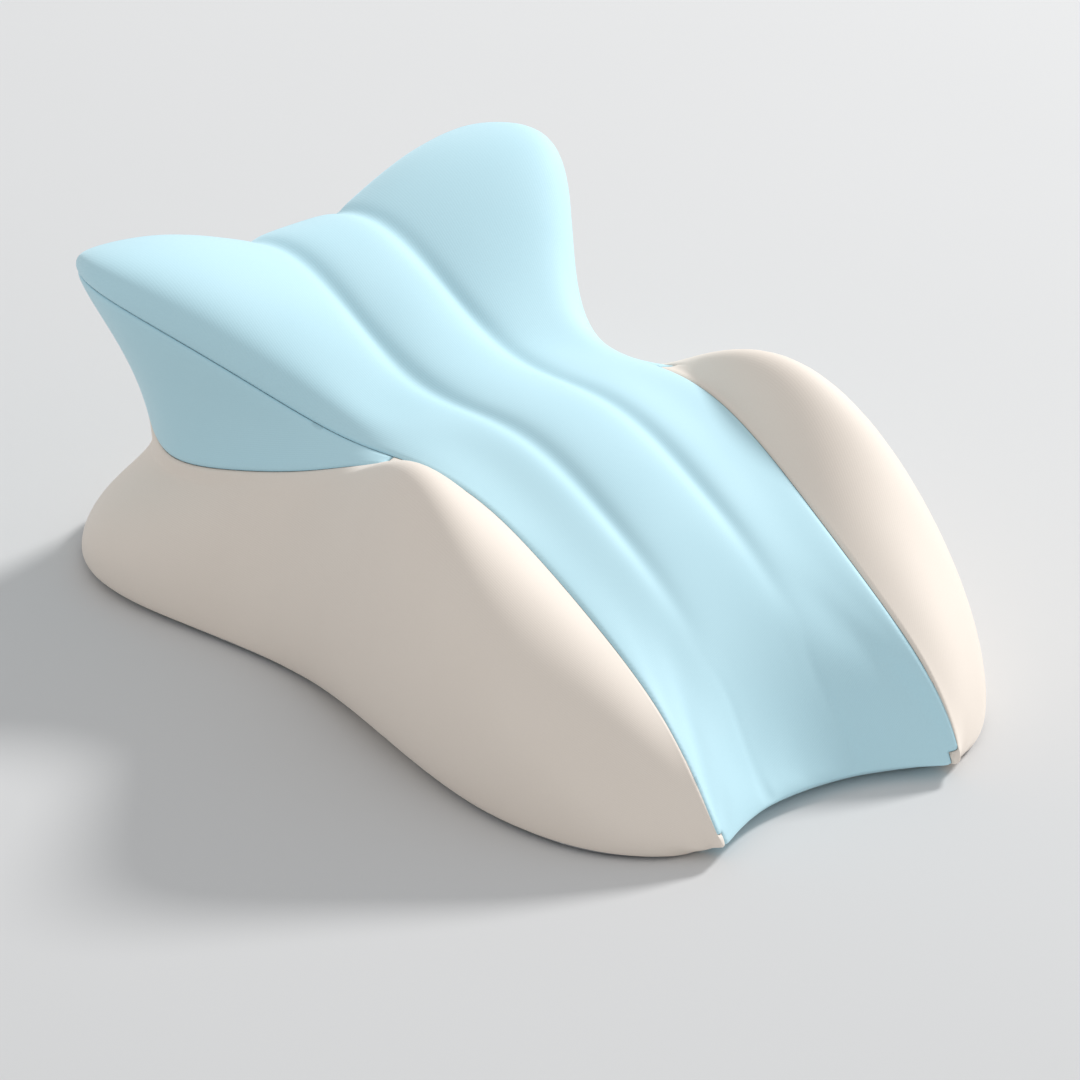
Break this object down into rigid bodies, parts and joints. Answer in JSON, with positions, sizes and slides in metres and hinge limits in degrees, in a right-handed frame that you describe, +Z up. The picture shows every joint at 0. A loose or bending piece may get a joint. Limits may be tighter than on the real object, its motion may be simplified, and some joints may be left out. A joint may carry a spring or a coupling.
{
  "type": "cervical traction pillow",
  "caption": "Two-colour foam neck traction pillow with a raised neck hump, winged head rest, grooved top strip, flared side lobes and a rear zip.",
  "frame": {"origin": "middle of the underside, at the centre of the part's bounding box on the floor plane", "axes": "+X across the pillow, +Y towards the head end, +Z up"},
  "size_m": [0.268, 0.3919, 0.138],
  "materials": {
    "cover_blue_top": "soft knit",
    "cover_blue_band_left": "soft knit",
    "cover_blue_band_right": "soft knit",
    "cover_blue_band_rear": "soft knit",
    "cover_cream_left": "soft knit",
    "cover_cream_right": "soft knit",
    "cover_grey_base": "anti-slip cloth",
    "foam": "open-cell foam",
    "zip_tape": "woven tape",
    "zip_teeth": "satin",
    "zip_metal": "satin",
    "zip_pull": "satin",
    "zip_stop": "satin"
  },
  "bodies": {
    "pillow": {"top_panel": "cover_blue_top", "band_left": "cover_blue_band_left", "band_right": "cover_blue_band_right", "band_rear": "cover_blue_band_rear", "side_panel_left": "cover_cream_left", "side_panel_right": "cover_cream_right", "base_panel": "cover_grey_base", "foam_core": "foam", "zip_tape_upper": "zip_tape", "zip_tape_lower": "zip_tape", "zip_teeth_upper": "zip_teeth", "zip_teeth_lower": "zip_teeth", "zip_top_stop_upper": "zip_stop", "zip_top_stop_lower": "zip_stop", "zip_bottom_stop": "zip_stop"},
    "slider": {"zip_slider": "zip_metal"},
    "pull_tab": {"zip_pull_tab": "zip_pull"}
  },
  "joints": [
    {"name": "zip_slide", "type": "slide", "parent": "pillow", "child": "slider", "axis": [-1, 0, 0], "range_m": [0, 0.1202]},
    {"name": "pull_tab_hinge", "type": "hinge", "parent": "slider", "child": "pull_tab", "pos_m": [0.0601, 0.17901, 0.07788], "axis": [0, 0, -1], "range_deg": [0, 180]}
  ]
}
